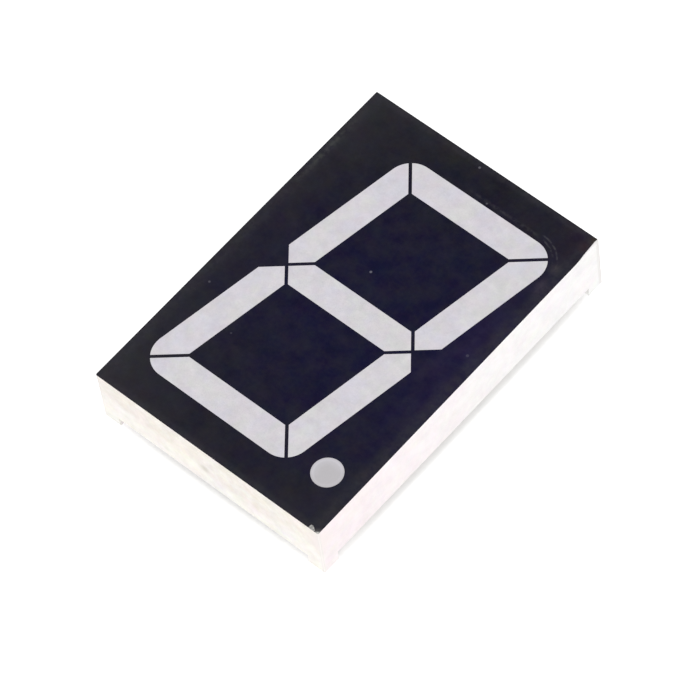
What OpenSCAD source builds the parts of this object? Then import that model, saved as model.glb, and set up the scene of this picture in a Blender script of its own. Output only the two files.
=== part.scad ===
// Single-digit seven segment display, lying on its pins with the digit facing up.
// Millimetres. +X is the digit's right, +Y its top, +Z points out of the face.
// The origin is on the surface it stands on, under the middle of the body.

/* [Body] */
// Width of the body, across the digit
body_w = 48; // [46.5:0.1:64]
// Length of the body, along the digit
body_l = 70; // [68:0.1:90]
// Depth of the body, from its back edge to its face
body_h = 10.8; // [9:0.1:15]
// Thickness of the moulding's outer wall
wall = 1.5; // [1:0.1:1.9]
// Thickness of the moulding's front between the light wells
front_t = 1.5; // [1:0.1:2]
// Thickness of the wall around each light well
well_wall = 1; // [0.6:0.05:1.1]
// Thickness of the ribs behind the front
rib_t = 0.8; // [0.6:0.1:1.2]
// Pitch of those ribs, both ways
rib_pitch = 6.5; // [5:0.25:8]
// Radius of the body's four upright edges
edge_r = 0.2; // [0.2:0.05:1.4]
// Side of the square pillar in each corner, from the body's outer faces
foot_w = 3.4; // [2.5:0.1:4]
// How far each pillar stands out of the back as a foot
foot_h = 2.1; // [0.8:0.1:2.5]
// Radius of the outer edges round the back and under the feet
back_r = 0.3; // [0.1:0.05:0.6]
// Thickness of the black face layer
film_t = 0.1; // [0.05:0.01:0.3]

/* [Digit] */
// Height of the digit
digit_h = 57.2; // [44:0.1:57.5]
// Width of the digit, measured level
digit_w = 32.8; // [26:0.1:34]
// Width of a segment
bar = 5.5; // [4.4:0.1:6.8]
// Black gap between two segments
gap = 0.6; // [0.3:0.05:0.8]
// Lean of the digit to the right
slant = 10; // [0:0.5:12]
// Radius of the digit's four outer corners
corner_r = 4.5; // [3:0.1:5.5]
// Offset of the digit's middle to the right of the body's
digit_x = 0.25; // [-0.5:0.05:0.5]
// Diameter of the decimal point
dot_d = 5.5; // [5.1:0.1:6.6]
// Decimal point's centre, right of the body's middle
dot_x = 17.75; // [16.5:0.05:18]
// Decimal point's centre, below the body's middle
dot_y = 25.55; // [23:0.05:27]
// How far a light well's foot is drawn in from its mouth
well_draft = 0.9; // [0.3:0.05:1]

/* [Wear] */
// Length of the chip in the face layer's lower edge
chip_l = 1.3; // [0.5:0.1:3]
// Depth of that chip
chip_h = 0.8; // [0.3:0.1:1.5]
// Distance of that chip from the right edge
chip_in = 0.85; // [0.5:0.05:3]
// Length of the rubbed edge at the top right corner
rub_l = 6; // [2:0.1:8]
// Depth of that rubbed edge
rub_w = 0.42; // [0.2:0.01:1]
// How far the worn lower right corner of the face layer reaches along its edges
nip = 0.8; // [0.4:0.05:1]

/* [Back] */
// Thickness of the circuit board
board_t = 1.6; // [1:0.1:2]
// Clearance between the board and the wall and pillars round it
board_clear = 0.2; // [0.1:0.05:0.4]
// Thickness of the resin behind the board
resin_t = 2.6; // [1.5:0.1:3.2]
// How far the resin lies inside the back edge
resin_in = 0.3; // [0.1:0.05:0.6]
// Thickness of the copper on the board
copper_t = 0.07; // [0.035:0.005:0.1]
// Width of a copper track
track_w = 0.5; // [0.3:0.05:0.8]

/* [Pins] */
// Length of a pin below the body's back edge
pin_l = 4.5; // [3:0.1:10]
// Diameter of a pin below the resin
pin_d = 0.6; // [0.45:0.01:0.75]
// How much thicker a pin is inside the body, all round
shank_step = 0.05; // [0.03:0.01:0.08]
// Pitch of the pins in a row
pin_pitch = 2.54; // [2.54]
// Distance between the two rows
row_gap = 60.96; // [60.96]
// Pins in a row
row_pins = 5; // [5]
// Clearance between a pin and its hole in the board, filled with solder
pin_clear = 0.1; // [0.05:0.01:0.2]

/* [Light emitters] */
// Emitters in a segment
die_count = 4; // [2:1:4]
// Distance between two emitters in a segment
die_pitch = 4.6; // [3:0.1:5]
// Width of an emitter
die_w = 0.36; // [0.25:0.01:0.5]
// Height of an emitter
die_h = 0.25; // [0.15:0.01:0.3]
// Level distance from an emitter to its wire's far end
wire_reach = 0.95; // [0.85:0.05:1.2]
// Diameter of a bond wire
wire_d = 0.05; // [0.03:0.005:0.06]

/* [Hidden] */
SEGMENTS = ["a", "b", "c", "d", "e", "f", "g"];
LIGHTS = ["a", "b", "c", "d", "e", "f", "g", "dot"];
PINS = [for (i = [1:2 * row_pins]) i];
$fn = 64;
ARC_STEPS = 12;
WIRE_SIDES = 16;
OVERCUT = 0.5;

// Heights, from the pins' tips up
back_z = pin_l;
foot_z = back_z - foot_h;
resin_z = back_z + resin_in;
board_z = resin_z + resin_t;
copper_z = board_z - copper_t;
well_z = board_z + board_t;
top_z = back_z + body_h;
face_z = top_z - film_t;
front_z = face_z - front_t;

// Half sizes of the space inside the outer wall and of the board in it
room_x = body_w / 2 - wall;
room_y = body_l / 2 - wall;
board_x = room_x - board_clear;
board_y = room_y - board_clear;

// The digit before it leans: half sizes, and the level width of an upright segment
half_w = digit_w / 2;
half_h = digit_h / 2;
bar_x = bar / cos(slant);
inner_x = half_w - bar_x;
middle_x = half_w - bar_x / 2;
inner_y = half_h - bar;
middle_y = half_h - bar / 2;
dot_r = dot_d / 2;
dot_at = [dot_x, -dot_y];

// Pins, solder and board holes
pin_r = pin_d / 2;
shank_r = pin_r + shank_step;
hole_r = shank_r + pin_clear;
joint_r = hole_r + 0.4;
land_r = joint_r + 0.1;
joint_low_r = shank_r + 0.05;
joint_top_r = hole_r + 0.25;
joint_h = 0.7;
joint_top_h = 0.3;
stub_h = 0.5;
tip_h = 0.15;
row_y = row_gap / 2;

// Copper inside the light wells: lands under the emitters and at the wires' ends, and vias
land_w = 0.75;
end_land_w = 0.4;
link_w = 0.3;
via_r = 0.25;
via_land_r = via_r + 0.1;
via_in = 0.8;
first_lane = row_y - 3;
second_lane = row_y - 1.6;
side_lane = board_x - 1.6;
middle_lane = bar;

function lean(x, y) = [x + y * tan(slant), y];
function turned(points) = [for (p = points) -p];
function moved(points, by) = [for (p = points) p + by];
function arc(centre, r, from, to) =
    [for (i = [0:ARC_STEPS]) let (a = from + (to - from) * i / ARC_STEPS) centre + r * [cos(a), sin(a)]];

// A line is a point and a direction. The shape it bounds is on its left.
function line(p, q) = [p, atan2(q[1] - p[1], q[0] - p[0])];
function back(l) = [l[0], l[1] + 180];
function along(a) = [cos(a), sin(a)];
function inside(l, d) = l[0] + d * along(l[1] + 90);
function meet(l, dl, m, dm) =
    let (p = inside(l, dl), q = inside(m, dm), u = along(l[1]), v = along(m[1]))
    p + u * cross(q - p, v) / cross(u, v);

// The lines that the segments are cut along: edges, corner mitres and the crossed middle gaps
low_edge = line(lean(-inner_x, inner_y), lean(inner_x, inner_y));
left_inner = line(lean(-inner_x, 0), lean(-inner_x, inner_y));
left_outer = line(lean(-half_w, half_h), lean(-half_w, 0));
right_inner = line(lean(inner_x, inner_y), lean(inner_x, 0));
right_outer = line(lean(half_w, 0), lean(half_w, half_h));
left_mitre = line(lean(-inner_x, inner_y), lean(-half_w, half_h));
right_mitre = line(lean(inner_x, inner_y), lean(half_w, half_h));
left_arm = line(lean(-middle_x, 0), lean(-inner_x, bar / 2));
left_arm_out = line(lean(-half_w, bar / 2), lean(-middle_x, 0));
right_arm = line(lean(inner_x, bar / 2), lean(middle_x, 0));
right_arm_out = line(lean(middle_x, 0), lean(half_w, bar / 2));
middle_low = line(lean(-inner_x, -bar / 2), lean(inner_x, -bar / 2));
left_low_arm = line(lean(-middle_x, 0), lean(-inner_x, -bar / 2));
right_low_arm = line(lean(inner_x, -bar / 2), lean(middle_x, 0));

// Centres of the digit's two rounded upper corners
left_round = lean(-half_w, half_h) - corner_r / sin(45 + slant / 2) * along(left_mitre[1]);
right_round = lean(half_w, half_h) - corner_r / sin(45 - slant / 2) * along(right_mitre[1]);

// Outlines of the segments, drawn in by t all round; the other three are these turned by half a turn
function mitre_swing(t) = asin((gap / 2 + t) / (corner_r - t));
function outline_a(t) = concat(
    [meet(back(left_mitre), gap / 2 + t, low_edge, t), meet(low_edge, t, right_mitre, gap / 2 + t)],
    arc(right_round, corner_r - t, right_mitre[1] + mitre_swing(t), 90),
    arc(left_round, corner_r - t, 90, left_mitre[1] - mitre_swing(t))
);
function outline_f(t) = concat(
    [meet(left_arm, gap / 2 + t, left_inner, t), meet(left_inner, t, left_mitre, gap / 2 + t)],
    arc(left_round, corner_r - t, left_mitre[1] + mitre_swing(t), 180 - slant),
    [meet(left_outer, t, left_arm_out, gap / 2 + t),
        meet(left_arm_out, gap / 2 + t, left_arm, gap / 2 + t)]
);
function outline_b(t) = concat(
    [meet(right_arm, gap / 2 + t, right_arm_out, gap / 2 + t),
        meet(right_arm_out, gap / 2 + t, right_outer, t)],
    arc(right_round, corner_r - t, -slant, right_mitre[1] - mitre_swing(t)),
    [meet(back(right_mitre), gap / 2 + t, right_inner, t), meet(right_inner, t, right_arm, gap / 2 + t)]
);
function outline_g(t) =
    let (m = gap / 2 + t, half = [
        meet(left_low_arm, m, middle_low, t),
        meet(middle_low, t, right_low_arm, m),
        meet(right_low_arm, m, back(right_arm), m)
    ])
    concat(half, turned(half));
function outline(s, t) = moved(
    s == "a" ? outline_a(t) : s == "b" ? outline_b(t) : s == "c" ? turned(outline_f(t)) :
    s == "d" ? turned(outline_a(t)) : s == "e" ? turned(outline_b(t)) : s == "f" ? outline_f(t) :
    outline_g(t), [digit_x, 0]);

// Middle of each light well's foot, and the direction that its emitters run in
function light_at(s) = s == "dot" ? dot_at : [digit_x, 0] + (
    s == "a" ? lean(0, middle_y) : s == "b" ? lean(middle_x, middle_y / 2) :
    s == "c" ? lean(middle_x, -middle_y / 2) : s == "d" ? lean(0, -middle_y) :
    s == "e" ? lean(-middle_x, -middle_y / 2) : s == "f" ? lean(-middle_x, middle_y / 2) : [0, 0]);
function light_dir(s) =
    s == "b" || s == "f" ? 90 - slant : s == "c" || s == "e" ? -90 - slant : s == "g" ? 180 :
    s == "d" || s == "dot" ? 180 : 0;
function dies_in(s) = s == "dot" ? 1 : die_count;
function die_u(s, i) = (i - (dies_in(s) - 1) / 2) * die_pitch - wire_reach / 2;
function feed_u(s) = die_u(s, 0) - via_in;
function drain_u(s) = die_u(s, dies_in(s) - 1) + wire_reach + via_in;
function feed(s) = light_at(s) + feed_u(s) * along(light_dir(s));
function drain(s) = light_at(s) + drain_u(s) * along(light_dir(s));
function pin_at(i) = i <= row_pins
    ? [(i - (row_pins + 1) / 2) * pin_pitch, -row_y]
    : [((3 * row_pins + 1) / 2 - i) * pin_pitch, row_y];

// A closed solid through a stack of outlines, each a list of points and a height
module loft(rings) {
    n = len(rings[0][0]);
    top = len(rings) - 1;
    polyhedron(
        points = [for (r = rings) for (p = r[0]) [p[0], p[1], r[1]]],
        faces = concat(
            [[for (i = [0:n - 1]) i], [for (i = [n - 1:-1:0]) top * n + i]],
            [for (k = [0:top - 1]) for (i = [0:n - 1]) let (j = (i + 1) % n)
                [k * n + i, (k + 1) * n + j, k * n + j]],
            [for (k = [0:top - 1]) for (i = [0:n - 1]) let (j = (i + 1) % n)
                [k * n + i, (k + 1) * n + i, (k + 1) * n + j]]
        ),
        convexity = 4
    );
}

module slab(x, y, h) {
    translate([-x, -y, 0])
        cube([2 * x, 2 * y, h]);
}

module rounded_slab(x, y, r, h) {
    linear_extrude(h)
        union() {
            square([2 * (x - r), 2 * y], center = true);
            square([2 * x, 2 * (y - r)], center = true);
            for (sx = [-1, 1])
                for (sy = [-1, 1])
                    translate([sx * (x - r), sy * (y - r)])
                        circle(r);
        }
}

// What rounds the body's outer edges at a height: along each side, a square bar less a round one
module edge_cutters(length_x, length_y) {
    for (side = [[0, body_w, length_y], [90, body_l, length_x]])
        for (a = [side[0], side[0] + 180])
            rotate(a)
                translate([side[1] / 2, side[2] / 2, 0])
                    rotate([90, 0, 0])
                        linear_extrude(side[2])
                            difference() {
                                translate([-back_r, -OVERCUT])
                                    square([back_r + OVERCUT, back_r + OVERCUT]);
                                translate([-back_r, back_r])
                                    circle(back_r);
                            }
}

// Square pillars in the four corners, a clearance wider and upright
module pillars(clear, h) {
    side = foot_w + clear;
    for (sx = [-1, 1])
        for (sy = [-1, 1])
            translate([sx * (body_w - side) / 2, sy * (body_l - side) / 2, h / 2])
                cube([side, side, h], center = true);
}

// The space of a light well, from the board to the housing's front, run on past both ends
module well(s) {
    foot = outline(s, well_draft);
    mouth = outline(s, 0);
    loft([[foot, well_z - OVERCUT], [foot, well_z], [mouth, face_z], [mouth, face_z + OVERCUT]]);
}

module dot_well() {
    translate([dot_at[0], dot_at[1], 0]) {
        translate([0, 0, well_z - OVERCUT])
            cylinder(r = dot_r - well_draft, h = OVERCUT);
        translate([0, 0, well_z])
            cylinder(r1 = dot_r - well_draft, r2 = dot_r, h = face_z - well_z);
        translate([0, 0, face_z])
            cylinder(r = dot_r, h = OVERCUT);
    }
}

// The block that the seven wells are sunk in: a ring round the digit with two windows
module well_block(h) {
    outer = corner_r + well_wall;
    half = concat(arc(right_round, outer, -slant, 90), arc(left_round, outer, 90, 180 - slant));
    window_x = inner_x - well_wall / cos(slant);
    low = bar / 2 + well_wall;
    high = inner_y - well_wall;
    window = [lean(-window_x, low), lean(window_x, low), lean(window_x, high), lean(-window_x, high)];
    translate([digit_x, 0, 0])
        linear_extrude(h)
            difference() {
                polygon(concat(half, turned(half)));
                polygon(window);
                polygon(turned(window));
            }
}

// A crate of thin ribs that stiffens the front between and beside the wells, clear of the pins
module ribs(h) {
    for (i = [-floor(room_x / rib_pitch):floor(room_x / rib_pitch)])
        translate([i * rib_pitch - rib_t / 2, -half_h, 0])
            cube([rib_t, digit_h, h]);
    for (i = [-floor(half_h / rib_pitch):floor(half_h / rib_pitch)])
        translate([-room_x - wall / 2, i * rib_pitch - rib_t / 2, 0])
            cube([2 * room_x + wall, rib_t, h]);
}

module housing() {
    block_h = face_z - well_z - front_t / 2;
    color("white")
        difference() {
            union() {
                difference() {
                    translate([0, 0, back_z])
                        rounded_slab(body_w / 2, body_l / 2, edge_r, face_z - back_z);
                    translate([0, 0, back_z - OVERCUT])
                        slab(room_x, room_y, front_z - back_z + OVERCUT);
                }
                translate([0, 0, foot_z])
                    intersection() {
                        rounded_slab(body_w / 2, body_l / 2, edge_r, face_z - foot_z);
                        pillars(0, face_z - front_t / 2 - foot_z);
                    }
                translate([0, 0, well_z]) {
                    ribs(block_h);
                    well_block(block_h);
                    translate([dot_at[0], dot_at[1], 0])
                        cylinder(r = dot_r + well_wall, h = block_h);
                }
            }
            translate([0, 0, foot_z])
                edge_cutters(body_w + OVERCUT, body_l + OVERCUT);
            translate([0, 0, back_z])
                edge_cutters(body_w - 2 * foot_w, body_l - 2 * foot_w);
            for (s = SEGMENTS)
                well(s);
            dot_well();
        }
}

// The black layer on the housing's front, open over the segments, chipped, rubbed and worn
module face_film() {
    chip = [[0, -1], [0, 0], [0.1, 0.9], [0.35, 1], [0.72, 0.62], [1, 0.3], [1, -1]];
    rub = [[0, 0], [0.2, 0.2], [0.5, 0.38], [0.72, 0.62], [1, 0.9], [0.85, 1], [0.85, 2], [-1, 2], [-1, 0]];
    worn = [[1, -1], [1, 1], [0, 1], [-0.3, 0.6], [-0.55, 0.4], [-1, 0], [-1, -1]];
    color("#201e2a")
        translate([0, 0, face_z])
            difference() {
                rounded_slab(body_w / 2, body_l / 2, edge_r, film_t);
                translate([0, 0, -OVERCUT])
                    linear_extrude(film_t + 2 * OVERCUT) {
                        for (s = SEGMENTS)
                            polygon(outline(s, 0));
                        translate(dot_at)
                            circle(dot_r);
                        translate([body_w / 2 - chip_in - chip_l, -body_l / 2])
                            polygon([for (p = chip) [p[0] * chip_l, p[1] * chip_h]]);
                        translate([body_w / 2, body_l / 2 - rub_l])
                            polygon([for (p = rub) [-p[0] * rub_w, p[1] * rub_l]]);
                        translate([body_w / 2, -body_l / 2])
                            polygon(nip * worn);
                    }
            }
}

// Milky resin that fills a light well from the board to the face
module segment(s) {
    foot = outline(s, well_draft);
    mouth = outline(s, 0);
    color("#d7d4da")
        difference() {
            loft([[foot, well_z], [mouth, face_z], [mouth, top_z]]);
            light_parts(s);
        }
}

module decimal_point() {
    color("#c2bfc4")
        difference() {
            translate([dot_at[0], dot_at[1], 0])
                union() {
                    translate([0, 0, well_z])
                        cylinder(r1 = dot_r - well_draft, r2 = dot_r, h = face_z - well_z);
                    translate([0, 0, face_z])
                        cylinder(r = dot_r, h = film_t);
                }
            light_parts("dot");
        }
}

// What stands in the foot of a light well, sunk a little deeper to cut a clean pocket
module light_parts(s) {
    well_copper(s, OVERCUT);
    emitters(s);
    bond_wires(s);
}

module at_light(s) {
    translate([light_at(s)[0], light_at(s)[1], well_z])
        rotate(light_dir(s))
            children();
}

// Copper in a well: a land under each emitter, joined to the end of the wire before it, and two vias
module well_copper(s, down) {
    n = dies_in(s);
    at_light(s)
        translate([0, 0, -down])
            linear_extrude(copper_t + down) {
                for (i = [0:n - 1]) {
                    translate([die_u(s, i), 0])
                        square(land_w, center = true);
                    translate([die_u(s, i) + wire_reach, 0])
                        square(end_land_w, center = true);
                }
                if (n > 1)
                    for (i = [0:n - 2])
                        translate([die_u(s, i) + wire_reach, -link_w / 2])
                            square([die_pitch - wire_reach, link_w]);
                translate([feed_u(s), -link_w / 2])
                    square([via_in, link_w]);
                translate([drain_u(s) - via_in, -link_w / 2])
                    square([via_in, link_w]);
                for (u = [feed_u(s), drain_u(s)])
                    translate([u, 0])
                        circle(via_land_r);
            }
}

module emitters(s) {
    color("#d8c36a")
        at_light(s)
            for (i = [0:dies_in(s) - 1])
                translate([die_u(s, i) - die_w / 2, -die_w / 2, copper_t])
                    cube([die_w, die_w, die_h]);
}

// A wire is an arc that stands on its far land and comes down on top of its emitter
module bond_wires(s) {
    centre = (wire_reach - die_h * die_h / wire_reach) / 2;
    color("gold")
        at_light(s)
            for (i = [0:dies_in(s) - 1])
                translate([die_u(s, i), 0, copper_t])
                    difference() {
                        translate([centre, 0, 0])
                            rotate([90, 0, 0])
                                rotate_extrude(angle = 180)
                                    translate([wire_reach - centre, 0])
                                        circle(d = wire_d, $fn = WIRE_SIDES);
                        translate([-wire_reach, -die_w, -die_h])
                            cube([wire_reach + centre, 2 * die_w, 2 * die_h]);
                    }
}

// The board's outline, notched at its corners for the pillars
module board_slab(h) {
    difference() {
        slab(board_x, board_y, h);
        translate([0, 0, -OVERCUT])
            pillars(board_clear, h + 2 * OVERCUT);
    }
}

module circuit_board() {
    color("#2f6b3c")
        difference() {
            translate([0, 0, board_z])
                board_slab(board_t);
            for (i = PINS)
                translate([pin_at(i)[0], pin_at(i)[1], board_z - OVERCUT])
                    cylinder(r = hole_r, h = board_t + 2 * OVERCUT);
            for (s = LIGHTS)
                for (p = [feed(s), drain(s)])
                    translate([p[0], p[1], board_z - OVERCUT])
                        cylinder(r = via_r, h = board_t + 2 * OVERCUT);
        }
}

module front_copper() {
    color("#c98b4a")
        union() {
            for (s = LIGHTS)
                well_copper(s, 0);
            for (s = LIGHTS)
                for (p = [feed(s), drain(s)])
                    translate([p[0], p[1], board_z])
                        cylinder(r = via_r, h = board_t + copper_t);
        }
}

module track(points) {
    for (i = [0:len(points) - 2]) {
        low = [min(points[i][0], points[i + 1][0]), min(points[i][1], points[i + 1][1])];
        high = [max(points[i][0], points[i + 1][0]), max(points[i][1], points[i + 1][1])];
        translate(low - [track_w, track_w] / 2)
            square(high - low + [track_w, track_w]);
    }
}

// A track from a light's via down or up to a lane, along it and out to its pin
module pin_track(s, pin, lane) {
    from = drain(s);
    to = pin_at(pin);
    track([from, [from[0], sign(to[1]) * lane], [to[0], sign(to[1]) * lane], to]);
}

// Tracks behind the board: one common line up the middle and one line to each pin
module back_tracks() {
    track([pin_at(3), pin_at(8)]);
    for (s = ["a", "d", "g"])
        track([feed(s), [0, feed(s)[1]]]);
    for (s = ["b", "f"])
        track([feed(s), [feed(s)[0], middle_lane], [0, middle_lane]]);
    for (s = ["c", "e"])
        track([feed(s), [feed(s)[0], -middle_lane], [0, -middle_lane]]);
    track([feed("dot"), [side_lane, feed("dot")[1]], [side_lane, -middle_lane], [0, -middle_lane]]);
    pin_track("a", 7, first_lane);
    pin_track("b", 6, second_lane);
    pin_track("c", 4, first_lane);
    pin_track("d", 2, first_lane);
    pin_track("e", 1, second_lane);
    pin_track("f", 9, first_lane);
    pin_track("dot", 5, second_lane);
    track([drain("g"), [-side_lane, drain("g")[1]], [-side_lane, second_lane],
        [pin_at(10)[0], second_lane], pin_at(10)]);
}

module back_copper_at(up) {
    translate([0, 0, copper_z])
        difference() {
            linear_extrude(copper_t + up)
                union() {
                    back_tracks();
                    for (i = PINS)
                        translate(pin_at(i))
                            circle(land_r);
                }
            for (i = PINS)
                translate([pin_at(i)[0], pin_at(i)[1], -OVERCUT])
                    cylinder(r = hole_r, h = copper_t + up + 2 * OVERCUT);
        }
}

module back_copper() {
    color("#c98b4a")
        back_copper_at(0);
}

module pin(i) {
    color("silver")
        translate([pin_at(i)[0], pin_at(i)[1], 0])
            union() {
                cylinder(r1 = pin_r - tip_h, r2 = pin_r, h = tip_h);
                translate([0, 0, tip_h])
                    cylinder(r = pin_r, h = resin_z - tip_h);
                translate([0, 0, resin_z])
                    cylinder(r = shank_r, h = well_z + stub_h - resin_z);
            }
}

// Solder around a pin: a cone behind the board, a sleeve in the hole and a small cone in front
module solder_joints() {
    hole_h = well_z - copper_z;
    color("#b9bcc2")
        for (i = PINS)
            translate([pin_at(i)[0], pin_at(i)[1], copper_z])
                rotate_extrude()
                    polygon([
                        [shank_r, -joint_h],
                        [joint_low_r, -joint_h],
                        [joint_r, 0],
                        [hole_r, 0],
                        [hole_r, hole_h],
                        [joint_top_r, hole_h],
                        [joint_low_r, hole_h + joint_top_h],
                        [shank_r, hole_h + joint_top_h]
                    ]);
}

// Resin behind and around the board, with the tracks, the solder and the pins cast in it
module back_resin() {
    color("ivory")
        difference() {
            translate([0, 0, resin_z])
                slab(room_x, room_y, well_z - resin_z);
            translate([0, 0, foot_z])
                pillars(0, face_z - foot_z);
            translate([0, 0, board_z])
                board_slab(board_t + OVERCUT);
            back_copper_at(OVERCUT);
            for (i = PINS)
                translate([pin_at(i)[0], pin_at(i)[1], 0]) {
                    cylinder(r = shank_r, h = board_z);
                    translate([0, 0, copper_z - joint_h])
                        cylinder(r1 = joint_low_r, r2 = joint_r, h = joint_h);
                    translate([0, 0, copper_z])
                        cylinder(r = joint_r, h = copper_t + OVERCUT);
                }
        }
}

housing();
face_film();
for (s = SEGMENTS)
    segment(s);
decimal_point();
circuit_board();
front_copper();
back_copper();
for (s = LIGHTS)
    emitters(s);
for (s = LIGHTS)
    bond_wires(s);
for (i = PINS)
    pin(i);
solder_joints();
back_resin();
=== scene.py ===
"""Seven segment display: finishes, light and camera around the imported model. Metres, +Z up."""
import math

import bmesh
import bpy
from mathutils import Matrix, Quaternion, Vector, noise

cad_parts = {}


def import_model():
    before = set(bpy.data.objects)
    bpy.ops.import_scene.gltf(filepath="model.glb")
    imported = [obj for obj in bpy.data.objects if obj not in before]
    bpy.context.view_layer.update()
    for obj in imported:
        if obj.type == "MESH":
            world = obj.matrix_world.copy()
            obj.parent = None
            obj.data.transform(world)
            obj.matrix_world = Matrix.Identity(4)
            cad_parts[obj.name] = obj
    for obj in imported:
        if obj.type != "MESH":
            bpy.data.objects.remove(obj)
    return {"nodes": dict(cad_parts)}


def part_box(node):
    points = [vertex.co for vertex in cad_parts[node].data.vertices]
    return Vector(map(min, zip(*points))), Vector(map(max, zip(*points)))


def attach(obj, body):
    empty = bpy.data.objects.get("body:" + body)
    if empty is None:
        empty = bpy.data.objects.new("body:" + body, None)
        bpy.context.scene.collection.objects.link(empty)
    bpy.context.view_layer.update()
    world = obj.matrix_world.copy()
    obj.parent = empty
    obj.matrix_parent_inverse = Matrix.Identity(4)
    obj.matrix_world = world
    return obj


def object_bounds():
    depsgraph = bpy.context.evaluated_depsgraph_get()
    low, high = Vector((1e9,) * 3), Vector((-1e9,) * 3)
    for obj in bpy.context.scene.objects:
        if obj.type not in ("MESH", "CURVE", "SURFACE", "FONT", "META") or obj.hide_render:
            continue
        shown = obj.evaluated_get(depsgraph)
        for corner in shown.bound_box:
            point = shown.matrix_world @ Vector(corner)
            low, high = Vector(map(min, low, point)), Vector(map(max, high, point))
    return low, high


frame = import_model()
cad_low, cad_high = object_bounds()

MM = 0.001
SEGMENTS = ["segment_" + letter for letter in "abcdefg"]
LIGHTS = [*"abcdefg", "dot"]
PINS = [name for name in frame["nodes"] if name.startswith("pin_")]
BODY_LOW, BODY_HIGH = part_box("housing")
TOP_Z = cad_high.z
RESIN_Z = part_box("back_resin")[0].z

# Sizes that the boxes don't tell: the digit's corner radius, a corner foot and a pin
CORNER_ROUND = 4.5 * MM
FOOT_WIDTH = 3.4 * MM
PIN_RADIUS = 0.3 * MM

# Size of the largest blotches in the plastic and the ink, and in the segments' resin
BLOTCH = 3.2 * MM
RESIN_BLOTCH = 2.4 * MM


# ---------------------------------------------------------------- node helpers


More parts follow.
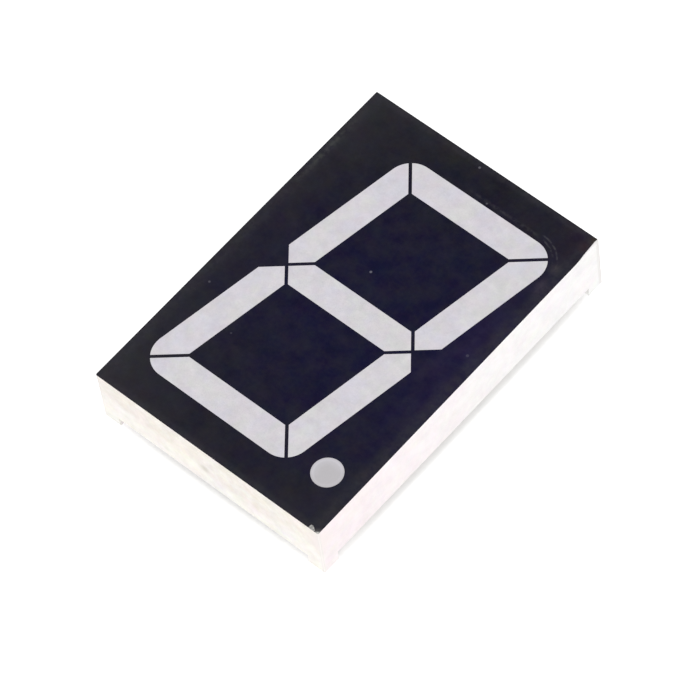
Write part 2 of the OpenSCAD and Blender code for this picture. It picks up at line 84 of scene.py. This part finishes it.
class Graph:
    """A material's nodes, with short calls that add one and wire it up."""

    def __init__(self, name):
        self.material = bpy.data.materials.new(name)
        self.material.use_nodes = True
        self.tree = self.material.node_tree
        self.tree.nodes.clear()

    def node(self, kind, inputs, **settings):
        """Adds a node. An input from another node is linked, and a plain value is set."""
        made = self.tree.nodes.new("ShaderNode" + kind)
        for key, value in settings.items():
            setattr(made, key, value)
        for key, value in inputs.items():
            if isinstance(value, bpy.types.NodeSocket):
                self.tree.links.new(value, made.inputs[key])
            else:
                made.inputs[key].default_value = value
        return made

    def position(self):
        """The point's own place in the frame, in metres."""
        return self.node("TexCoord", {}).outputs["Object"]

    def axis(self, name):
        """One coordinate of the point: X, Y or Z."""
        parts = self.node("SeparateXYZ", {"Vector": self.position()})
        return parts.outputs[name]

    def noise(self, size, detail=3.0, rough=0.5, vector=None):
        """Soft noise from 0 to 1 whose blotches are about that size in metres."""
        inputs = {
            "Vector": vector or self.position(),
            "Scale": 1 / size,
            "Detail": detail,
            "Roughness": rough,
        }
        return self.node("TexNoise", inputs).outputs["Fac"]

    def math(self, operation, a, b=0.0, clamp=False):
        """The result of one operation on numbers."""
        inputs = {0: a, 1: b}
        return self.node("Math", inputs, operation=operation, use_clamp=clamp).outputs[0]

    def step(self, value, low, high):
        """0 where the value is under low, 1 where it is over high, smooth between."""
        inputs = {"Value": value, "From Min": low, "From Max": high}
        made = self.node("MapRange", inputs, interpolation_type="SMOOTHSTEP")
        return made.outputs["Result"]

    def scaled(self, value, low, high):
        """A value from 0 to 1 spread from low to high."""
        inputs = {"Value": value, "To Min": low, "To Max": high}
        return self.node("MapRange", inputs).outputs["Result"]

    def blend(self, factor, a, b):
        """Colour a where the factor is 0 and b where it is 1. Sockets 6, 7 and 2 carry the colours."""
        made = self.node("Mix", {"Factor": factor}, data_type="RGBA")
        for socket, value in ((made.inputs[6], a), (made.inputs[7], b)):
            if isinstance(value, bpy.types.NodeSocket):
                self.tree.links.new(value, socket)
            else:
                socket.default_value = (*value, 1.0)
        return made.outputs[2]

    def distance(self, centre):
        """How far the point is from the centre."""
        inputs = {0: self.position(), 1: centre}
        return self.node("VectorMath", inputs, operation="DISTANCE").outputs["Value"]

    def spot(self, centre, radius, soft):
        """1 inside a small ball round the centre, 0 outside it."""
        return self.step(self.distance(centre), radius + soft, radius - soft)

    def band(self, value, centre, half, soft):
        """1 where the value is within half of the centre, 0 further off."""
        off = self.math("ABSOLUTE", self.math("SUBTRACT", value, centre))
        return self.step(off, half + soft, half - soft)

    def all_of(self, *factors):
        """1 only where every factor is 1."""
        total = factors[0]
        for factor in factors[1:]:
            total = self.math("MULTIPLY", total, factor)
        return total

    def marked(self, colour, marks):
        """The colour with each mark laid over it: where it is, how strong it is, and its colour."""
        for place, strength, tint in marks:
            colour = self.blend(self.math("MULTIPLY", place, strength), colour, tint)
        return colour

    def vector_math(self, operation, *values):
        """The result of one operation on vectors or colours."""
        made = self.node("VectorMath", dict(enumerate(values)), operation=operation)
        return made.outputs["Vector"]

    def mottled(self, colour, size, light, hue):
        """The colour with blotches of that size down to fine grain, in lightness and in hue."""
        settings = {"Vector": self.position(), "Detail": 5.0, "Roughness": 0.75}
        shade = self.node("TexNoise", {**settings, "Scale": 1 / size}).outputs["Fac"]
        tints = self.node("TexNoise", {**settings, "Scale": 0.8 / size}).outputs["Color"]
        shade = self.scaled(shade, -light / 2, light / 2)
        tints = self.vector_math("MULTIPLY_ADD", tints, hue, [-part / 2 for part in hue])
        total = self.vector_math("ADD", colour, self.vector_math("ADD", tints, shade))
        return self.vector_math("MAXIMUM", total, (0.0, 0.0, 0.0))

    def bump(self, height, depth):
        """A normal tilted by a height from 0 to 1, where 1 stands depth metres proud."""
        inputs = {"Height": height, "Distance": depth, "Strength": 1.0}
        return self.node("Bump", inputs).outputs["Normal"]

    def finish(self, shader):
        """Wires the shader to the output and gives the finished material."""
        self.node("OutputMaterial", {"Surface": shader})
        return self.material

    def principled(self, colour, **inputs):
        """Closes the material with a Principled shader; underscores stand for spaces."""
        named = {key.replace("_", " "): value for key, value in inputs.items()}
        if not isinstance(colour, bpy.types.NodeSocket):
            colour = (*colour, 1.0)
        made = self.node("BsdfPrincipled", {"Base Color": colour, **named})
        return self.finish(made.outputs["BSDF"])


# ---------------------------------------------------------------- materials


def clean_plastic(g, y):
    """White, with a pink cast that grows towards the digit's foot, partly the plastic's own tint and
    partly painted pinkish light.
    """
    pinker = g.step(y, BODY_LOW.y + 62 * MM, BODY_LOW.y - 2 * MM)
    clean = g.blend(pinker, (0.935, 0.914, 0.912), (0.920, 0.834, 0.848))
    return g.mottled(clean, BLOTCH, light=0.26, hue=(0.10, 0.15, 0.12))


def cream_side_plastic(g, x, height):
    """Cream, partly the plastic's own tint and partly a painted warm cast of light, browner along the top
    and in one long patch, with two stains.
    """
    hue = g.step(g.noise(2.6 * MM, detail=4.0, rough=0.6), 0.36, 0.64)
    cream_side = g.blend(hue, (0.952, 0.922, 0.856), (0.946, 0.902, 0.866))
    blotches = g.step(g.noise(1.7 * MM, detail=5.0, rough=0.65), 0.34, 0.62)
    along_top = g.step(height, BODY_HIGH.z - 7.2 * MM, BODY_HIGH.z - 4.2 * MM)
    patch = g.all_of(
        g.band(x, 6 * MM, 8 * MM, 3 * MM),
        g.band(height, BODY_HIGH.z - 5.6 * MM, 1.6 * MM, 1.4 * MM),
    )
    brown = g.math("MAXIMUM", g.math("MULTIPLY", along_top, 0.82), patch)
    brown = g.all_of(brown, g.scaled(blotches, 0.45, 1.0), 0.92)
    cream_side = g.blend(brown, cream_side, (0.830, 0.768, 0.700))
    cream_side = g.mottled(cream_side, BLOTCH, light=0.42, hue=(0.13, 0.17, 0.22))
    for stain_x, down, size, strength in ((-0.9, 5.9, 0.75, 0.65), (-9.8, 8.6, 0.6, 0.16)):
        centre = (stain_x * MM, BODY_LOW.y, BODY_HIGH.z - down * MM)
        stain = g.spot(centre, size * MM, 0.7 * MM)
        cream_side = g.marked(cream_side, [(stain, strength, (0.58, 0.54, 0.47))])
    return cream_side


def wear_and_edge_shade(g, x, y):
    """Marks on the sides: a handled corner, and painted shade that dulls the four upright edges and greys
    the far one.
    """
    corner = (BODY_HIGH.x, BODY_LOW.y, BODY_HIGH.z - 3 * MM)
    ragged = g.scaled(g.noise(14 * MM, detail=4.0), -0.8 * MM, 0.8 * MM)
    from_corner = g.math("ADD", g.distance(corner), ragged)
    off_x, off_y = g.math("ABSOLUTE", x), g.math("ABSOLUTE", y)
    # Painted shade along the four upright edges, dulling their highlight.
    upright_edge_shade = g.all_of(
        g.step(off_x, BODY_HIGH.x - 0.5 * MM, BODY_HIGH.x - 0.2 * MM),
        g.step(off_y, BODY_HIGH.y - 0.5 * MM, BODY_HIGH.y - 0.2 * MM),
    )
    # Painted shade as a grey stripe down the far upright edge.
    far_edge_shade = g.all_of(
        g.step(x, BODY_HIGH.x - 0.3 * MM, BODY_HIGH.x - 0.1 * MM),
        g.step(y, BODY_HIGH.y - 1.0 * MM, BODY_HIGH.y - 0.6 * MM),
    )
    return [
        (g.step(from_corner, 4.4 * MM, 0.8 * MM), 0.75, (0.905, 0.820, 0.805)),
        (upright_edge_shade, 0.8, (0.835, 0.790, 0.770)),
        (far_edge_shade, 0.9, (0.825, 0.805, 0.790)),
    ]


def housing_plastic():
    """White moulded plastic: satin grain, a pink cast and a cream short side that are partly painted
    tints of light, painted shade on the upright edges, and grey where ink is lost.
    """
    g = Graph("housing_plastic")
    x, y, height = (g.axis(name) for name in "XYZ")
    short_side = g.step(y, BODY_LOW.y + 0.6 * MM, BODY_LOW.y + 0.2 * MM)
    sides = g.blend(short_side, clean_plastic(g, y), cream_side_plastic(g, x, height))
    sides = g.marked(sides, wear_and_edge_shade(g, x, y))

    normal = g.node("NewGeometry", {}).outputs["True Normal"]
    up = g.node("SeparateXYZ", {"Vector": normal}).outputs["Z"]
    bared = g.spot((BODY_HIGH.x - 1 * MM, BODY_LOW.y, BODY_HIGH.z), 1.6 * MM, 0.2 * MM)
    bared = g.all_of(bared, g.step(up, 0.8, 0.95))
    lumps = g.step(g.noise(0.45 * MM, detail=3.0), 0.40, 0.60)
    chip_grey = g.blend(lumps, (0.24, 0.235, 0.225), (0.52, 0.51, 0.49))
    fine = g.noise(0.35 * MM, detail=5.0, rough=0.6)
    return g.principled(
        g.blend(bared, sides, chip_grey),
        Roughness=g.scaled(fine, 0.36, 0.5),
        Specular_IOR_Level=0.35,
        Normal=g.bump(fine, 0.006 * MM),
    )


def ink_and_painted_sheen(g, x, y, clouds, patches):
    """Blue-violet in the middle, greyer outwards where a sheen is painted, with soft patches."""
    squares = [
        g.math("POWER", g.math("DIVIDE", g.math("SUBTRACT", value, middle), reach), 2.0)
        for value, middle, reach in ((x, 5 * MM, 26 * MM), (y, 2 * MM, 36 * MM))
    ]
    outward = g.math("ADD", g.math("ADD", *squares), g.scaled(clouds, -0.5, 0.5))
    # Painted sheen: the ink turns greyer towards the edges as if it reflected the light.
    painted_sheen = g.step(outward, 0.0, 2.2)
    away = g.math("ADD", g.distance((9 * MM, -1 * MM, TOP_Z)), g.scaled(clouds, -6 * MM, 6 * MM))
    cast = g.step(away, 44 * MM, 12 * MM)
    plain = g.blend(painted_sheen, (0.0040, 0.0032, 0.0076), (0.0186, 0.0174, 0.0240))
    violet = g.blend(painted_sheen, (0.0038, 0.0030, 0.0218), (0.0178, 0.0156, 0.0345))
    ink = g.blend(cast, plain, violet)
    return g.marked(ink, [(patches, 0.22, (0.0080, 0.0085, 0.0090))])


def ink_tints(g, x, y, patches, scuffs):
    """Changes of colour: violet down the right, red and brown at a corner, paler along the edges."""
    right_strip = g.all_of(
        g.step(x, 14.5 * MM, 19.5 * MM),
        g.band(y, 6 * MM, 14 * MM, 14 * MM),
        g.scaled(patches, 0.7, 1.0),
    )
    from_side = g.math("SUBTRACT", BODY_HIGH.x, g.math("ABSOLUTE", x))
    from_end = g.math("SUBTRACT", BODY_HIGH.y, g.math("ABSOLUTE", y))
    by_side = g.step(from_side, 3.0 * MM, 0.9 * MM)
    by_end = g.step(from_end, 1.6 * MM, 0.5 * MM)
    paler_edges = g.math("MULTIPLY", g.math("MAXIMUM", by_side, by_end), g.scaled(scuffs, 0.6, 1.3))

    def near_corner(in_x, in_y, radius, soft):
        centre = (BODY_HIGH.x - in_x * MM, BODY_HIGH.y - in_y * MM, TOP_Z)
        return g.spot(centre, radius * MM, soft * MM)

    return [
        (right_strip, 0.50, (0.0150, 0.0090, 0.0455)),
        (near_corner(2.0, 2.0, 4.0, 3.0), 0.50, (0.0117, 0.0054, 0.0167)),
        (paler_edges, 0.35, (0.031, 0.030, 0.037)),
        (near_corner(1.2, 2.5, 0.8, 0.8), 0.45, (0.0260, 0.0105, 0.0135)),
        (near_corner(0.5, 0.5, 0.8, 0.5), 0.50, (0.0420, 0.0320, 0.0230)),
    ]


def corner_scuffs(g, x, y, scuffs):
    """Scuffs beside segments A and B, with rings that follow the digit's rounded corner."""
    _, a_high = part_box("segment_a")
    _, b_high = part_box("segment_b")
    round_x = b_high.x - CORNER_ROUND
    round_y = a_high.y - CORNER_ROUND
    far = g.distance((round_x, round_y, TOP_Z))
    beside_a = g.all_of(
        g.band(y, a_high.y + 0.9 * MM, 0.15 * MM, 0.40 * MM),
        g.band(x, 9 * MM, 7 * MM, 2.5 * MM),
        scuffs,
    )
    ring_start, ring_pitch = 5.10 * MM, 0.72 * MM
    turns = g.math("MULTIPLY", g.math("SUBTRACT", far, ring_start), math.tau / ring_pitch)
    rings = g.all_of(
        g.step(g.math("SINE", turns), -0.4, 1.0),
        g.band(far, CORNER_ROUND + 1.1 * MM, 0.75 * MM, 0.2 * MM),
        g.step(x, round_x - 0.5 * MM, round_x + 0.5 * MM),
        g.step(y, round_y + 1.6 * MM, round_y + 3.2 * MM),
        g.step(g.noise(1.5 * MM, detail=3.0), 0.38, 0.58),
        g.scaled(scuffs, 0.25, 1.0),
    )
    beside_b = g.all_of(
        g.band(x, BODY_HIGH.x - 2.1 * MM, 0.6 * MM, 0.8 * MM),
        g.band(y, round_y + 2.1 * MM, 0.8 * MM, 1.0 * MM),
        g.scaled(scuffs, 0.7, 1.0),
    )
    below_b = g.all_of(
        g.band(x, BODY_HIGH.x - 1.9 * MM, 0.6 * MM, 0.9 * MM),
        g.band(y, round_y - 1.9 * MM, 1.4 * MM, 1.4 * MM),
        g.scaled(scuffs, 0.6, 1.0),
    )
    return [
        (beside_a, 0.60, (0.055, 0.054, 0.060)),
        (rings, 0.62, (0.058, 0.057, 0.064)),
        (beside_b, 0.90, (0.042, 0.037, 0.048)),
        (below_b, 0.85, (0.038, 0.030, 0.050)),
    ]


def worn_edges(g, x, y, scuffs):
    """Ink rubbed along the left edge and worn at the lower right corner."""
    left_edge = g.all_of(
        g.band(x, BODY_LOW.x + 1.0 * MM, 0.35 * MM, 0.55 * MM),
        g.band(y, 21 * MM, 6 * MM, 5 * MM),
        scuffs,
    )
    corner = g.spot((BODY_HIGH.x, BODY_LOW.y, TOP_Z), 0.95 * MM, 0.35 * MM)
    return [
        (left_edge, 0.75, (0.050, 0.052, 0.050)),
        (corner, 0.55, (0.090, 0.084, 0.084)),
    ]


# Light specks on the face: x and y of the middle, radius in millimetres, and strength
SPECKS = (
    (-1.5, 7.4, 0.22, 0.26),
    (21.3, 4.9, 0.26, 0.07),
    (-0.6, 33.9, 0.22, 0.20),
    (4.9, 29.2, 0.18, 0.14),
    (-21.2, -10.3, 0.20, 0.12),
    (-11.8, -15.5, 0.16, 0.08),
)


def dust_and_specks(g):
    """Fine pale dust all over, and the larger specks."""
    dust = g.step(g.noise(0.16 * MM, detail=1.0), 0.78, 0.88)
    marks = [(dust, 0.10, (0.35, 0.35, 0.38))]
    for x, y, radius, strength in SPECKS:
        speck = g.spot((x * MM, y * MM, TOP_Z), radius * MM, 0.08 * MM)
        marks.append((speck, strength, (0.45, 0.44, 0.50)))
    return marks


def face_ink():
    """Black layer: blue-violet in the middle, greyer towards its edges where a sheen is painted, dusty
    and scuffed.
    """
    g = Graph("face_ink")
    x, y = g.axis("X"), g.axis("Y")
    clouds = g.noise(9 * MM, detail=4.0, rough=0.6)
    patches = g.step(g.noise(3.2 * MM, detail=3.0, rough=0.6), 0.36, 0.64)
    scuffs = g.step(g.noise(1.1 * MM, detail=4.0, rough=0.6), 0.36, 0.60)
    ink = ink_and_painted_sheen(g, x, y, clouds, patches)
    ink = g.marked(ink, ink_tints(g, x, y, patches, scuffs))
    ink = g.marked(ink, corner_scuffs(g, x, y, scuffs))
    ink = g.marked(ink, worn_edges(g, x, y, scuffs))
    ink = g.marked(ink, dust_and_specks(g))
    grain = g.noise(0.12 * MM, detail=3.0, rough=0.65)
    return g.principled(
        g.mottled(ink, BLOTCH, light=0.022, hue=(0.010, 0.008, 0.021)),
        Roughness=g.scaled(clouds, 0.36, 0.5),
        Specular_IOR_Level=0.06,
        Normal=g.bump(grain, 0.002 * MM),
    )


def segment_resin():
    """Milky cast resin: light grey with lilac patches, mottled by its filler."""
    g = Graph("segment_resin")
    lilac = g.step(g.noise(3.4 * MM, detail=4.0, rough=0.55), 0.38, 0.62)
    rosy = g.step(g.noise(2.1 * MM, detail=3.0), 0.38, 0.62)
    filler = g.step(g.noise(0.28 * MM, detail=4.0, rough=0.7), 0.34, 0.68)
    base = g.blend(lilac, (0.652, 0.646, 0.642), (0.643, 0.622, 0.690))
    base = g.marked(base, [(rosy, 0.6, (0.672, 0.622, 0.664)), (filler, 0.4, (0.575, 0.562, 0.605))])
    return g.principled(
        g.mottled(base, RESIN_BLOTCH, light=0.26, hue=(0.06, 0.06, 0.05)),
        Roughness=g.scaled(filler, 0.42, 0.55),
        Specular_IOR_Level=0.2,
        Normal=g.bump(filler, 0.003 * MM),
    )


def dot_resin():
    """The decimal point's resin: grey, with a paler ring inside its rim that fades to the lower right."""
    low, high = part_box("decimal_point")
    centre = (low + high) / 2
    radius = (high.x - low.x) / 2
    upper_left = Vector((-0.75, 0.66, 0.0))
    g = Graph("dot_resin")
    inputs = {0: g.position(), 1: upper_left}
    across = g.node("VectorMath", inputs, operation="DOT_PRODUCT").outputs["Value"]
    across = g.math("SUBTRACT", across, upper_left.dot(centre))
    paler = g.step(across, -1.6 * MM, 1.2 * MM)
    far = g.distance((centre.x, centre.y, TOP_Z))
    filler = g.noise(0.4 * MM, detail=4.0, rough=0.6)
    colour = g.blend(filler, (0.510, 0.490, 0.505), (0.465, 0.452, 0.474))
    inner = g.math("MULTIPLY", g.step(far, 1.0 * MM, 1.9 * MM), g.scaled(paler, -0.15, 0.35))
    colour = g.blend(inner, colour, (0.590, 0.573, 0.620))
    ring = g.band(far, radius - 0.42 * MM, 0.10 * MM, 0.32 * MM)
    ring = g.math("MULTIPLY", ring, g.scaled(paler, 0.35, 0.95))
    return g.principled(
        g.blend(ring, colour, (0.610, 0.592, 0.636)),
        Roughness=g.scaled(filler, 0.42, 0.55),
        Specular_IOR_Level=0.2,
        Normal=g.bump(filler, 0.003 * MM),
    )


def back_resin():
    """Ivory potting resin that levelled itself: glossy, a little wavy, with fine bubbles darkened by
    painted shade.
    """
    g = Graph("back_resin")
    waves = g.noise(7 * MM, detail=2.0)
    inputs = {"Vector": g.position(), "Scale": 1 / (3.2 * MM)}
    from_bubble = g.node("TexVoronoi", inputs, feature="F1").outputs["Distance"]
    # Each bubble pit dents the surface and darkens its colour as painted shade.
    pit_and_shade = g.step(from_bubble, 0.10, 0.02)
    colour = g.blend(waves, (0.80, 0.775, 0.70), (0.76, 0.735, 0.655))
    height = g.math("SUBTRACT", waves, g.math("MULTIPLY", pit_and_shade, 0.4))
    return g.principled(
        g.blend(pit_and_shade, colour, (0.62, 0.59, 0.51)),
        Roughness=g.scaled(waves, 0.12, 0.22),
        Specular_IOR_Level=0.5,
        Normal=g.bump(height, 0.12 * MM),
    )


def tinned_pin():
    """Dull tin on drawn wire: fine lines along the pin and soft grey clouds."""
    g = Graph("tinned_pin")
    lines = g.node("Mapping", {"Vector": g.position(), "Scale": (1.0, 1.0, 0.03)})
    drawn = g.noise(0.05 * MM, detail=3.0, vector=lines.outputs["Vector"])
    clouds = g.noise(0.8 * MM, detail=3.0)
    return g.principled(
        g.blend(clouds, (0.72, 0.715, 0.70), (0.60, 0.60, 0.595)),
        Metallic=1.0,
        Roughness=g.scaled(drawn, 0.26, 0.44),
        Normal=g.bump(drawn, 0.004 * MM),
    )


def metal(name, light, dark, size, rough):
    """A metal with clouds of tarnish of the given size."""
    g = Graph(name)
    clouds = g.noise(size, detail=4.0)
    return g.principled(
        g.blend(clouds, light, dark),
        Metallic=1.0,
        Roughness=g.scaled(clouds, rough, rough + 0.15),
        Normal=g.bump(clouds, 0.004 * MM),
    )


def board_laminate():
    """Green glass-filled board with the weave of the cloth just showing."""
    g = Graph("board_laminate")
    inputs = {"Vector": g.position(), "Scale": 1 / (2.4 * MM), "Distortion": 0.6}
    warp = g.node("TexWave", inputs, bands_direction="X").outputs["Fac"]
    weft = g.node("TexWave", inputs, bands_direction="Y").outputs["Fac"]
    weave = g.math("MULTIPLY", warp, weft)
    return g.principled(
        g.blend(weave, (0.030, 0.120, 0.045), (0.055, 0.180, 0.075)),
        Roughness=g.scaled(weave, 0.35, 0.5),
        Normal=g.bump(weave, 0.01 * MM),
    )


def emitter():
    """Cut crystal: amber, lighter and darker in a fine grain."""
    g = Graph("emitter")
    grain = g.noise(0.08 * MM, detail=3.0)
    return g.principled(
        g.blend(grain, (0.78, 0.60, 0.20), (0.62, 0.42, 0.12)),
        Roughness=g.scaled(grain, 0.12, 0.3),
        Normal=g.bump(grain, 0.003 * MM),
    )


def assign(made, *names):
    """Puts one material in every slot of the named CAD nodes."""
    for name in names:
        data = frame["nodes"][name].data
        data.materials.clear()
        data.materials.append(made)


RESIN = back_resin()
COPPER = metal("copper", (0.80, 0.42, 0.24), (0.62, 0.30, 0.16), size=1.5 * MM, rough=0.3)
GOLD = metal("gold_wire", (0.95, 0.70, 0.30), (0.85, 0.58, 0.22), size=0.2 * MM, rough=0.2)
SOLDER = metal("solder", (0.72, 0.73, 0.75), (0.60, 0.61, 0.64), size=0.6 * MM, rough=0.22)
assign(housing_plastic(), "housing")
assign(face_ink(), "face_film")
assign(segment_resin(), *SEGMENTS)
assign(dot_resin(), "decimal_point")
assign(board_laminate(), "circuit_board")
assign(COPPER, "front_copper", "back_copper")
assign(emitter(), *["emitters_" + light for light in LIGHTS])
assign(GOLD, *["bond_wires_" + light for light in LIGHTS])
assign(tinned_pin(), *PINS)
assign(SOLDER, "solder_joints")
assign(RESIN, "back_resin")


# ---------------------------------------------------------------- cast resin's edges


def resin_piece(name, corners, faces):
    """A closed mesh in the back resin's finish that rides on the one body."""
    mesh = bpy.data.meshes.new(name)
    mesh.from_pydata(corners, [], faces)
    mesh.materials.append(RESIN)
    mesh.update()
    shell = bmesh.new()
    shell.from_mesh(mesh)
    bmesh.ops.recalc_face_normals(shell, faces=shell.faces)
    shell.to_mesh(mesh)
    shell.free()
    mesh.shade_smooth()
    made = bpy.data.objects.new(name, mesh)
    bpy.context.collection.objects.link(made)
    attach(made, "root")


# Resin drawn up a wall or a pin: how far it reaches out and how high it climbs. SUNK is how deep the
# added piece dips into what it meets.
WALL_REACH = 0.9 * MM
WALL_CLIMB = 0.26 * MM
PIN_REACH = 0.62 * MM
PIN_CLIMB = 0.46 * MM
SUNK = 0.05 * MM


def wetting_curve(reach, climb, steps=8):
    """A closed section (distance from the wetted wall, height off the resin), hollow like a fillet."""
    curve = []
    for i in range(steps + 1):
        turn = math.radians(90 * i / steps)
        curve.append((reach * (1 - math.sin(turn)), climb * (1 - math.cos(turn))))
    return [(reach, -SUNK), *curve, (-SUNK, climb), (-SUNK, -SUNK)]


def swept(rings):
    """The rings' points in one list, and the faces that join each ring to the next, all the way round."""
    count = len(rings[0])
    faces = []
    for i in range(len(rings)):
        after = (i + 1) % len(rings)
        for k in range(count):
            ahead = (k + 1) % count
            faces.append((i * count + k, after * count + k, after * count + ahead, i * count + ahead))
    return [point for ring in rings for point in ring], faces


def pin_menisci():
    """Resin drawn up round each pin where it leaves the cast surface, a little different each time."""
    turns = 32
    corners, faces = [], []
    for index, name in enumerate(PINS):
        low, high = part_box(name)
        middle = (low + high) / 2
        reach = PIN_REACH + 0.16 * MM * noise.noise(Vector((index * 1.7, 0.3, 0)))
        climb = PIN_CLIMB + 0.14 * MM * noise.noise(Vector((index * 2.3, 4.1, 0)))
        rings = []
        for i in range(turns):
            turn = math.tau * i / turns
            wobble = 1 + 0.14 * noise.noise(Vector((math.cos(turn), math.sin(turn), index * 3.1)))
            ring = []
            for off, up in wetting_curve(reach * wobble, climb):
                x = middle.x + (PIN_RADIUS + off) * math.cos(turn)
                y = middle.y + (PIN_RADIUS + off) * math.sin(turn)
                ring.append((x, y, RESIN_Z - up))
            rings.append(ring)
        more, joined = swept(rings)
        faces += [tuple(k + len(corners) for k in face) for face in joined]
        corners += more
    resin_piece("resin_round_pins", corners, faces)


def wall_meniscus():
    """Resin drawn up along the wall and the four pillars, all the way round the back."""
    _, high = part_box("back_resin")
    pillar_x = BODY_HIGH.x - FOOT_WIDTH
    pillar_y = BODY_HIGH.y - FOOT_WIDTH
    lower_pillar = [(pillar_x, -high.y), (pillar_x, -pillar_y), (high.x, -pillar_y)]
    upper_pillar = [(high.x, pillar_y), (pillar_x, pillar_y), (pillar_x, high.y)]
    right_half = [Vector(point) for point in lower_pillar + upper_pillar]
    outline = right_half + [-point for point in right_half]
    rings = []
    for i, corner in enumerate(outline):
        before = (corner - outline[i - 1]).normalized()
        after = (outline[(i + 1) % len(outline)] - corner).normalized()
        inward = Vector((-before.y, before.x)) + Vector((-after.y, after.x))
        ring = []
        for off, up in wetting_curve(WALL_REACH, WALL_CLIMB):
            place = corner + inward * off
            ring.append((place.x, place.y, RESIN_Z - up))
        rings.append(ring)
    resin_piece("resin_along_walls", *swept(rings))


pin_menisci()
wall_meniscus()


# ---------------------------------------------------------------- floor, world, light, camera


def white_rays(tree):
    """1 for the rays that see the background itself: camera, glossy and transmission rays."""
    path = tree.nodes.new("ShaderNodeLightPath")
    total = None
    for name in ("Is Camera Ray", "Is Glossy Ray", "Is Transmission Ray"):
        if total is None:
            total = path.outputs[name]
            continue
        add = tree.nodes.new("ShaderNodeMath")
        add.operation = "MAXIMUM"
        tree.links.new(total, add.inputs[0])
        tree.links.new(path.outputs[name], add.inputs[1])
        total = add.outputs[0]
    return total


# The floor: its grey and width, and the white added to it in the open and in the shade
FLOOR_COLOUR = 0.86
FLOOR_SIZE = 3.0
FLOOR_LIFT = 0.51
SHADE_LIFT = 0.13

# How near a thing must be to shade the floor, and the share of open sky in the shade and out of it
SHADE_REACH = 60 * MM
SHADED_SKY = 0.368
OPEN_SKY = 0.403

# Light that the world gives the object; the camera sees the world as white
WORLD_LEVEL = 0.62


def floor_material():
    """Pale paper that reads as white in the open and keeps the shade close under the object."""
    g = Graph("floor")
    paper = g.noise(4 * MM, detail=4.0)
    pale = g.blend(paper, (FLOOR_COLOUR,) * 3, (FLOOR_COLOUR - 0.01,) * 3)
    matt = g.node("BsdfDiffuse", {"Color": pale}).outputs["BSDF"]
    sky = g.node("AmbientOcclusion", {"Distance": SHADE_REACH}, samples=16).outputs["AO"]
    lift = g.scaled(g.step(sky, SHADED_SKY, OPEN_SKY), SHADE_LIFT, FLOOR_LIFT)
    lift = g.math("MULTIPLY", white_rays(g.tree), lift)
    glow = g.node("Emission", {"Strength": lift}).outputs["Emission"]
    both = g.node("AddShader", {0: matt, 1: glow}).outputs["Shader"]
    clear = g.node("BsdfTransparent", {}).outputs["BSDF"]
    back = g.node("NewGeometry", {}).outputs["Backfacing"]
    seen_through = g.node("MixShader", {0: back, 1: both, 2: clear}).outputs["Shader"]
    return g.finish(seen_through)


def floor():
    """A flat square under the object, which can be seen through from below."""
    mesh = bpy.data.meshes.new("floor")
    half = FLOOR_SIZE / 2
    corners = [(-half, -half, 0), (half, -half, 0), (half, half, 0), (-half, half, 0)]
    mesh.from_pydata(corners, [], [(0, 1, 2, 3)])
    mesh.materials.append(floor_material())
    made = bpy.data.objects.new("floor", mesh)
    made.location.z = cad_low.z
    bpy.context.collection.objects.link(made)


def world():
    """A plain white surround that is dimmer as a light than it looks."""
    made = bpy.data.worlds.new("studio")
    bpy.context.scene.world = made
    made.use_nodes = True
    tree = made.node_tree
    shade = tree.nodes["Background"]
    shade.inputs["Color"].default_value = (1.0, 1.0, 1.0, 1.0)
    level = tree.nodes.new("ShaderNodeMapRange")
    level.inputs["To Min"].default_value = WORLD_LEVEL
    level.inputs["To Max"].default_value = 1.0
    tree.links.new(white_rays(tree), level.inputs["Value"])
    tree.links.new(level.outputs["Result"], shade.inputs["Strength"])


def direction(azimuth, elevation):
    """From the object towards a viewer: azimuth 0 is on the -Y side and 90 on the +X side."""
    a = math.radians(azimuth)
    e = math.radians(elevation)
    return Vector((math.sin(a) * math.cos(e), -math.cos(a) * math.cos(e), math.sin(e)))


def softbox(name, azimuth, elevation, distance, size, level):
    """A square lamp that faces the object and gives that level of light to a surface facing it."""
    data = bpy.data.lights.new(name, "AREA")
    data.size = size
    data.energy = level * math.pi * (math.pi * distance**2)
    lamp = bpy.data.objects.new(name, data)
    back = direction(azimuth, elevation)
    lamp.location = Vector((0, 0, TOP_Z)) + back * distance
    lamp.rotation_mode = "QUATERNION"
    lamp.rotation_quaternion = (-back).to_track_quat("-Z", "Y")
    lamp.visible_camera = False
    bpy.context.collection.objects.link(lamp)


def camera():
    """A long lens that looks down at the display's lower right corner, rolled a little."""
    target = Vector((5.6 * MM, -6.0 * MM, TOP_Z))
    azimuth, elevation, roll = 48.64, 58.09, -9.07
    distance, lens = 817.6 * MM, 260.1
    data = bpy.data.cameras.new("camera")
    data.lens = lens
    data.sensor_width = 36.0
    data.clip_start = 0.01
    made = bpy.data.objects.new("camera", data)
    back = direction(azimuth, elevation)
    made.location = target + back * distance
    made.rotation_mode = "QUATERNION"
    level = (-back).to_track_quat("-Z", "Y")
    made.rotation_quaternion = level @ Quaternion((0, 0, 1), math.radians(roll))
    bpy.context.collection.objects.link(made)
    bpy.context.scene.camera = made


floor()
world()
softbox("key", azimuth=235, elevation=58, distance=0.42, size=0.30, level=0.20)
softbox("fill", azimuth=48, elevation=32, distance=0.80, size=0.60, level=0.55)
camera()
bpy.context.scene.view_settings.view_transform = "Standard"
